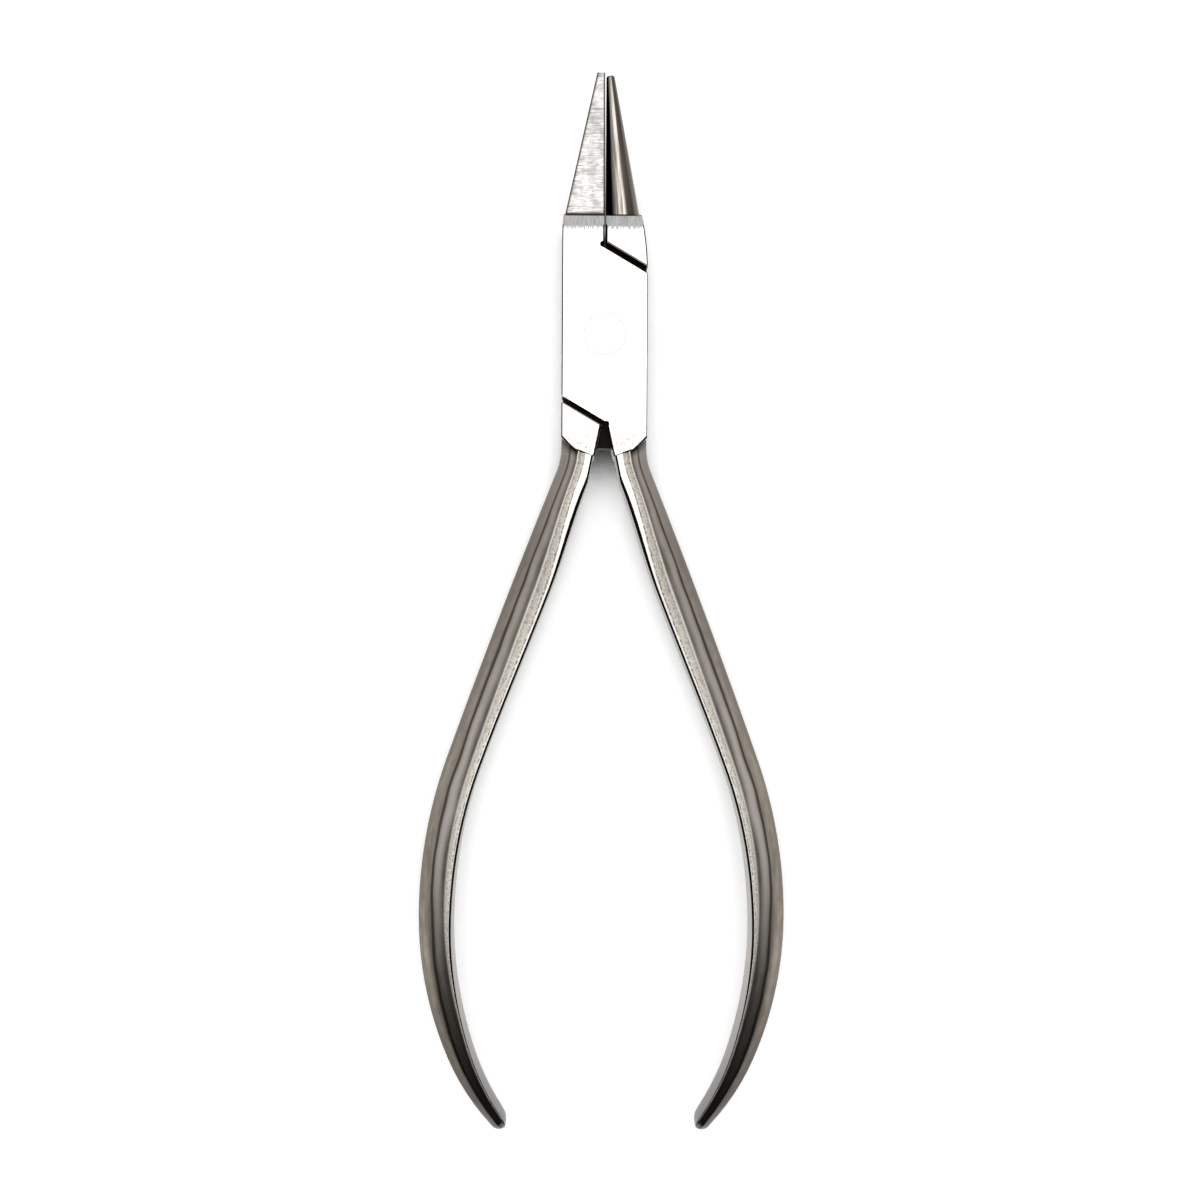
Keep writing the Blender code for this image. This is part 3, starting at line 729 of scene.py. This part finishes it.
def make_blasted_steel():
    """Stainless steel of the band beside each handle's inner edge, left as forged and bead-blasted.

    It is pale beige with small dimples, with painted light towards the inner edge that turns ivory where
    the hand holds, and a painted highlight on the ridge. A dotted brown line runs where it meets the ground
    land, the land itself is white, and a black line of painted shade follows the inner edge.
    """
    material, tree, shader = new_material("bead_blasted_stainless_steel")
    place = add_node(tree, "ShaderNodeTexCoord").outputs["Object"]
    grain = add_node(tree, "ShaderNodeAttribute", {"attribute_name": "grain"}).outputs["Vector"]
    row = add_node(tree, "ShaderNodeAttribute", {"attribute_name": "row"}).outputs["Fac"]
    down_handle = add_node(tree, "ShaderNodeSeparateXYZ", inputs={0: grain}).outputs["Y"]
    # dimples 0.2 mm across, a little longer along the handle
    pits = spots(tree, grain, (0.2, 0.32, 0.2), 5.0)
    tone = add_node(
        tree, "ShaderNodeMapRange", inputs={"Value": pits, "From Min": 0.36, "From Max": 0.62}
    ).outputs[0]
    # painted light: the band is brighter towards the inner edge
    inward = add_node(
        tree,
        "ShaderNodeMapRange",
        inputs={"Value": row, "From Min": RIDGE - 0.2, "From Max": LAND_EDGE, "To Max": 0.55},
    ).outputs[0]
    # painted highlight along the ridge
    on_ridge = add_node(
        tree,
        "ShaderNodeMapRange",
        inputs={"Value": row, "From Min": RIDGE - 0.12, "From Max": RIDGE - 0.03, "To Max": 0.8},
    ).outputs[0]
    on_land = add_node(
        tree, "ShaderNodeMath", {"operation": "LESS_THAN"}, {0: row, 1: LAND_EDGE + 0.12}
    ).outputs[0]
    colour = laid_over(
        tree,
        linear("8d857b"),
        (tone, linear("c2bbb1")),
        (root_scribbles(tree, place, grain), linear("5e5144")),
        (inward, linear("e3ded6")),
        (band_grip_light(tree, row, down_handle, tone), linear("fff8ec")),
        (on_ridge, linear("f2efea")),
        (dotted_line(tree, row, pits), linear("66543f")),
        (on_land, linear("efeeec")),
        (inner_edge_shade(tree, row, down_handle), linear("12100e")),
    )
    give_look(tree, shader, colour, relief=pits, depth=0.02, strength=0.8)
    shader.inputs["Metallic"].default_value = 1.0
    shader.inputs["Roughness"].default_value = 0.36
    return material


def make_edge_shade_steel():
    """Broken edges in painted shade: dark lines round the bright flats."""
    material, tree, shader = new_material("edge_shade_stainless_steel")
    place = add_node(tree, "ShaderNodeTexCoord").outputs["Object"]
    # uneven strokes 0.3 mm across
    strokes = spots(tree, place, (0.3, 0.3, 0.3), 3.0)
    colour = laid_over(tree, linear("12100e"), (strokes, linear("36302a")))
    give_look(tree, shader, colour, relief=strokes, depth=0.01, strength=0.5)
    shader.inputs["Metallic"].default_value = 1.0
    shader.inputs["Roughness"].default_value = 0.35
    return material


def make_mouth_edge():
    """Tan film of dried polishing paste on the broken edges of the slanted mouths, never wiped off."""
    material, tree, shader = new_material("dried_polishing_paste")
    place = add_node(tree, "ShaderNodeTexCoord").outputs["Object"]
    # uneven film with patches 0.5 mm long
    patches = spots(tree, place, (0.5, 0.25, 0.3), 3.0)
    colour = laid_over(tree, linear("b59c84"), (patches, linear("f0e2d3")))
    give_look(tree, shader, colour, relief=patches, depth=0.01, strength=0.4)
    shader.inputs["Roughness"].default_value = 0.55
    return material


def make_recess_shade():
    """Painted shade inside the joint and between the handle roots: dull brown-black."""
    material, tree, shader = new_material("painted_recess_shade")
    place = add_node(tree, "ShaderNodeTexCoord").outputs["Object"]
    # uneven, in patches 0.8 mm across
    patches = spots(tree, place, (0.8, 0.8, 0.8), 4.0)
    colour = laid_over(tree, linear("0b0908"), (patches, linear("241a15")))
    give_look(tree, shader, colour, relief=patches, depth=0.01, strength=0.4)
    rough = add_node(
        tree, "ShaderNodeMapRange", inputs={"Value": patches, "To Min": 0.4, "To Max": 0.7}
    )
    tree.links.new(rough.outputs[0], shader.inputs["Roughness"])
    shader.inputs["Specular IOR Level"].default_value = 0.15
    return material


# Where a point lies on a handle


def face_end_center():
    """Center, on the +X side, of the arc at which the flat face of the joint ends."""
    inner = Vector((crotch_x(FACE_END_INNER), FACE_END_INNER))
    outer = Vector((HALF_WIDTH, FACE_END_OUTER))
    chord = outer - inner
    rise = math.sqrt(FACE_END_RADIUS**2 - (chord.length / 2) ** 2)
    return (inner + outer) / 2 + rise * Vector((-chord.y, chord.x)).normalized()


def crotch_x(y):
    """Half the gap between the handle roots at y."""
    return CROTCH_HALF_GAP + max(0, CROTCH_CORNER - y) * math.tan(CROTCH_SPREAD)


def outer_edge_path():
    """Points along the outer edge of the +X handle, with the outward normal and the distance so far."""
    place = Vector((HALF_WIDTH, HANDLE_START))
    heading = 0.0
    gone = 0.0
    stations = [(place.copy(), Vector((1, 0)), gone)]
    for length, turn in HANDLE_STRETCHES:
        count = max(1, round(length / MM))
        for _ in range(count):
            step = math.radians(turn) / count
            middle = heading + step / 2
            place = place + length / count * Vector((math.sin(middle), -math.cos(middle)))
            heading += step
            gone += length / count
            stations.append((place.copy(), Vector((math.cos(heading), math.sin(heading))), gone))
    return stations


HANDLE_PATH = outer_edge_path()
HANDLE_LENGTH = HANDLE_PATH[-1][2]


def handle_width(gone):
    if gone < BEND_END:
        return NECK_WIDTH
    widest = mix(NECK_WIDTH, HANDLE_WIDTH, smooth_step(gone, BEND_END, BEND_END + WIDENING_LENGTH))
    full = mix(widest, SHANK_END_WIDTH, smooth_step(gone, BEND_END + WIDENING_LENGTH, SHANK_END))
    curved = max(0, (gone - SHANK_END) / (HANDLE_LENGTH - SHANK_END))
    return mix(full, TIP_WIDTH, curved**WIDTH_TAPER_POWER)


def row_points(gone):
    """The lines across a handle at this distance, as (distance in from the outer edge, row)."""
    width = handle_width(gone)
    outer = min(mix(*OUTER_WIDTHS, gone / HANDLE_LENGTH), OUTER_SHARE_AT_MOST * width)
    widening = smooth_step(gone, BEND_END, BEND_END + WIDENING_LENGTH)
    flute = min(mix(*FLUTE_WIDTHS, widening), FLUTE_SHARE_AT_MOST * width)
    ridge = width - outer - flute
    land = min(mix(*LAND_WIDTHS, smooth_step(gone, *LAND_NARROWS)), LAND_SHARE_AT_MOST * ridge)
    return [
        (0, OUTER_EDGE),
        (outer, CREASE),
        (outer + flute, RIDGE),
        (width - land, LAND_EDGE),
        (width, INNER_EDGE),
        (width + 0.1 * MM, INNER_EDGE - 1),
    ]


def on_handle(point):
    """Across, along and up the handle at a point, and its row."""
    flat = Vector((abs(point.x), point.y))
    place, outward, gone = min(HANDLE_PATH, key=lambda station: (station[0] - flat).length_squared)
    offset = flat - place
    down = Vector((outward.y, -outward.x))
    across = offset.dot(outward)
    gone += offset.dot(down)
    row = grade(row_points(min(HANDLE_LENGTH, max(0, gone))), max(0, -across))
    return Vector((across, gone, point.z)), row


def cone_grain(point):
    """Round, along and out of the conical beak at a point."""
    base = CONE_BASE_DIAMETER / 2
    lean = (CONE_BASE_DIAMETER - CONE_TIP_DIAMETER) / 2 / CONE_LENGTH
    middle_x = BEAK_GAP / 2 + base - (point.y - SHOULDER_HEIGHT) * lean
    angle = math.atan2(point.z - MID_HEIGHT, point.x - middle_x)
    return Vector((angle * base, point.y, 0))


def grain_at(point):
    """The direction of the finish at a point, and the row, which off the handles is mid-flute."""
    if point.y < HANDLE_START:
        return on_handle(point)
    if point.y > SHOULDER_HEIGHT and point.x > 0:
        return cone_grain(point), (RIDGE + CREASE) / 2
    return point.copy(), (RIDGE + CREASE) / 2


# Pieces

# Broken edges and the recesses inside the joint take finishes in painted shade
GROUND, BEAK, SATIN, BLASTED, EDGE_SHADE, RECESS_SHADE, MOUTH_EDGE = range(7)

# Slack in telling faces apart by where they lie
SLACK = 0.05 * MM
ON_FACE = 0.001 * MM
OFF_FACE = 0.02 * MM
# Depth below the flat faces of the web between the roots, and of the ledges beside it, which take the
# painted shade
WEB_DEPTH = 2 * MM
SHADED_DEPTH = 1 * MM
# The mouths' stretch along Y
MOUTH_STRETCH = (6 * MM, 11.2 * MM)
# Leans from level, in degrees: of a level face, of broken edges, and of the shoulder's slope at most
LEVEL_LEAN = 2
HANDLE_EDGE_LEAN = (20, 75)
BEAK_EDGE_LEAN = (20, 80)
SLOPE_LEAN = 60
# Angles from which an edge is crisp: anywhere, and where two finishes meet
CRISP_ANGLE = math.radians(18)
FINISH_ANGLE = math.radians(3)
MERGE_DISTANCE = 0.001 * MM


def surface_of(face, row):
    """Which finish a face has, from where it lies and how far it leans from level."""
    center = face.center
    lean = math.degrees(math.acos(min(1, abs(face.normal.z))))
    on_face = min(center.z, JOINT_THICKNESS - center.z)
    if center.y > BLOCK_END - 2 * SLACK:
        broken_edge = BEAK_EDGE_LEAN[0] < lean < BEAK_EDGE_LEAN[1]
        return EDGE_SHADE if center.x < 0 and broken_edge else BEAK
    between_roots = WEB_END - SLACK < center.y < 0 and abs(center.x) < crotch_x(center.y) + SLACK
    # painted shade on the web between the roots
    if on_face > WEB_DEPTH and between_roots:
        return RECESS_SHADE
    if center.y < FACE_END_OUTER and (center.y < FACE_END_INNER or on_face > OFF_FACE):
        return handle_surface(face, row, lean)
    if on_face < ON_FACE:
        return GROUND
    if center.y > BEVEL_START and face.normal.y > 0.2 and lean < SLOPE_LEAN:
        return GROUND
    if on_face < EDGE_BREAK:
        along_mouth = abs(face.normal.x) > 0.2 and abs(face.normal.y) > 0.4
        at_mouth = MOUTH_STRETCH[0] < abs(center.y) < MOUTH_STRETCH[1]
        return MOUTH_EDGE if along_mouth and at_mouth else EDGE_SHADE
    if center.y > SHOULDER_HEIGHT - SLACK:
        return EDGE_SHADE
    if abs(center.x) > 0.8 * HALF_WIDTH and abs(face.normal.x) > 0.8:
        return SATIN
    # painted shade on the faces inside the joint
    return RECESS_SHADE


def handle_surface(face, row, lean):
    """Which finish a face below the joint has."""
    center = face.center
    shaded = abs(center.z - MID_HEIGHT) < MID_HEIGHT - SHADED_DEPTH
    # painted shade on the level ledges below the joint's face
    if lean < LEVEL_LEAN and center.y > FACE_END_INNER - 4 * SLACK and shaded:
        return RECESS_SHADE
    # painted shade on the handle's inner edge
    if row < RIDGE and HANDLE_EDGE_LEAN[0] < lean < HANDLE_EDGE_LEAN[1]:
        return EDGE_SHADE
    if row < RIDGE and lean < HANDLE_EDGE_LEAN[0]:
        return BLASTED
    return SATIN


def write_grain(mesh):
    """Stores the grain and the row of each point, and returns the rows."""
    found = [grain_at(vertex.co) for vertex in mesh.vertices]
    grain = mesh.attributes.new("grain", "FLOAT_VECTOR", "POINT")
    for stored, (direction, _) in zip(grain.data, found):
        stored.vector = direction
    rows = mesh.attributes.new("row", "FLOAT", "POINT")
    for stored, (_, row) in zip(rows.data, found):
        stored.value = row
    return [row for _, row in found]


def mark_real_edges(mesh):
    """Edges stay crisp where faces meet at a real angle or where two finishes meet."""
    shape = bmesh.new()
    shape.from_mesh(mesh)
    for edge in shape.edges:
        if len(edge.link_faces) != 2:
            continue
        angle = edge.calc_face_angle()
        first, second = edge.link_faces
        finishes_meet = first.material_index != second.material_index
        edge.smooth = angle <= (FINISH_ANGLE if finishes_meet else CRISP_ANGLE)
    shape.to_mesh(mesh)
    shape.free()


def dressed_half(node, name, body, beak_finish, mouth_finish):
    """The half's own surface: closed, shaded smooth between its real edges, and finished face by face."""
    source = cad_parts[node]
    piece = bpy.data.objects.new(name, source.data.copy())
    bpy.context.scene.collection.objects.link(piece)
    select_only(piece)
    bpy.ops.object.mode_set(mode="EDIT")
    bpy.ops.mesh.select_all(action="SELECT")
    bpy.ops.mesh.remove_doubles(threshold=MERGE_DISTANCE)
    bpy.ops.object.mode_set(mode="OBJECT")
    mesh = piece.data
    mesh.materials.clear()
    finishes = (ground_steel, beak_finish, satin_steel, blasted_steel, edge_shade_steel, recess_shade, mouth_finish)
    for finish in finishes:
        mesh.materials.append(finish)
    rows = write_grain(mesh)
    for face in mesh.polygons:
        row = sum(rows[index] for index in face.vertices) / len(face.vertices)
        face.material_index = surface_of(face, row)
    mesh.shade_smooth()
    mark_real_edges(mesh)
    level = piece.modifiers.new("level faces", "WEIGHTED_NORMAL")
    level.mode = "FACE_AREA"
    level.keep_sharp = True
    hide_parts(node)
    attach(piece, body)


ground_steel = make_surface_ground_steel()
cross_ground_steel = make_cross_ground_steel()
polished_steel = make_polished_steel()
satin_steel = make_satin_steel()
blasted_steel = make_blasted_steel()
# painted shade for broken edges
edge_shade_steel = make_edge_shade_steel()
# painted shade for the recesses of the joint
recess_shade = make_recess_shade()
mouth_edge = make_mouth_edge()

dressed_half(
    "outer_half", "outer_half_skin", "outer_half", cross_ground_steel, edge_shade_steel
)
dressed_half("inner_half", "inner_half_skin", "inner_half", polished_steel, mouth_edge)
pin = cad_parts["pivot_pin"]
pin.data.materials.clear()
pin.data.materials.append(ground_steel)


# Floor, light and camera

FLOOR_SIZE = 3.0
FLOOR_DROP = 0.05 * MM
FLOOR_GLOW = 0.76
# The contact shadow: how far it looks for the pliers, and the open share at which it is full and gone
CONTACT_REACH = 5.0 * MM
CONTACT_FULL = 0.33
CONTACT_GONE = 0.53
SOFTBOX_SIZE = (0.46, 0.56)
SOFTBOX_PLACE = (0, 0.06, 0.55)
SOFTBOX_WATTS = 0.97
LENS_LENGTH = 56
FILM_WIDTH = 36
CAMERA_PLACE = (-2.73 * MM, -32.25 * MM, 234 * MM)
CAMERA_TILT = (0, math.radians(-0.59), math.radians(0.3))
# Glow of the studio's walls at table height and overhead, and the share of it left beyond the handle ends
WALL_GLOW = (0.4, 0.65)
DARK_SHARE = 0.06


def make_floor():
    """White laminate table, white to the eye and in the steel. It keeps the pliers' soft shadow."""
    bpy.ops.object.select_all(action="DESELECT")
    bpy.ops.mesh.primitive_plane_add(size=FLOOR_SIZE, location=(0, 0, -FLOOR_DROP))
    floor = bpy.context.active_object
    floor.name = "table_top"
    material, tree, shader = new_material("white_laminate")
    shader.inputs["Base Color"].default_value = linear("cfcfcf")
    shader.inputs["Roughness"].default_value = 0.7
    path = add_node(tree, "ShaderNodeLightPath").outputs
    # the glow is held back under and close to the pliers, so that their contact shadow stays
    open_sky = add_node(
        tree, "ShaderNodeAmbientOcclusion", {"samples": 6}, {"Distance": CONTACT_REACH}
    ).outputs["AO"]
    clear = add_node(
        tree,
        "ShaderNodeMapRange",
        inputs={"Value": open_sky, "From Min": CONTACT_FULL, "From Max": CONTACT_GONE},
    ).outputs[0]
    to_eye = add_node(
        tree, "ShaderNodeMath", {"operation": "MULTIPLY"}, {0: path["Is Camera Ray"], 1: clear}
    ).outputs[0]
    mirrored = add_node(
        tree, "ShaderNodeMath", {"operation": "MAXIMUM"}, {0: to_eye, 1: path["Is Glossy Ray"]}
    ).outputs[0]
    lift = add_node(
        tree, "ShaderNodeMath", {"operation": "MAXIMUM"}, {0: mirrored, 1: path["Is Transmission Ray"]}
    ).outputs[0]
    glow_strength = add_node(
        tree, "ShaderNodeMath", {"operation": "MULTIPLY"}, {0: lift, 1: FLOOR_GLOW}
    ).outputs[0]
    glow = add_node(tree, "ShaderNodeEmission", inputs={"Strength": glow_strength})
    both = add_node(tree, "ShaderNodeAddShader", inputs={0: shader.outputs[0], 1: glow.outputs[0]})
    tree.links.new(both.outputs[0], tree.nodes["Material Output"].inputs["Surface"])
    floor.data.materials.append(material)


def make_softbox():
    """One large overhead softbox, longer towards the beaks."""
    lamp = bpy.data.lights.new("overhead softbox", "AREA")
    lamp.shape = "RECTANGLE"
    lamp.size, lamp.size_y = SOFTBOX_SIZE
    lamp.energy = SOFTBOX_WATTS
    softbox = bpy.data.objects.new("overhead softbox", lamp)
    bpy.context.scene.collection.objects.link(softbox)
    softbox.location = SOFTBOX_PLACE


def make_world():
    """Studio walls: dim at table height, lighter overhead, and nearly black beyond the handle ends."""
    world = bpy.data.worlds.new("studio")
    bpy.context.scene.world = world
    world.use_nodes = True
    tree = world.node_tree
    direction = add_node(tree, "ShaderNodeTexCoord").outputs["Generated"]
    toward = add_node(tree, "ShaderNodeSeparateXYZ", inputs={0: direction}).outputs
    level = add_node(
        tree,
        "ShaderNodeMapRange",
        inputs={
            "Value": toward["Z"],
            "From Min": 0.1,
            "From Max": 0.9,
            "To Min": WALL_GLOW[0],
            "To Max": WALL_GLOW[1],
        },
    ).outputs[0]
    lit = add_node(
        tree,
        "ShaderNodeMapRange",
        inputs={"Value": toward["Y"], "From Min": -0.4, "From Max": 0.05, "To Min": DARK_SHARE},
    ).outputs[0]
    strength = add_node(
        tree, "ShaderNodeMath", {"operation": "MULTIPLY"}, {0: level, 1: lit}
    ).outputs[0]
    tree.links.new(strength, tree.nodes["Background"].inputs["Strength"])
    tree.nodes["Background"].inputs["Color"].default_value = linear("ffffff")


def make_camera():
    """Straight down from 23 cm above the pliers, as in the photograph."""
    lens = bpy.data.cameras.new("photograph")
    lens.lens = LENS_LENGTH
    lens.sensor_width = FILM_WIDTH
    lens.clip_start = 0.01
    camera = bpy.data.objects.new("photograph", lens)
    bpy.context.scene.collection.objects.link(camera)
    camera.location = CAMERA_PLACE
    camera.rotation_euler = CAMERA_TILT
    bpy.context.scene.camera = camera


make_floor()
make_softbox()
make_world()
make_camera()
bpy.context.scene.view_settings.view_transform = "Standard"
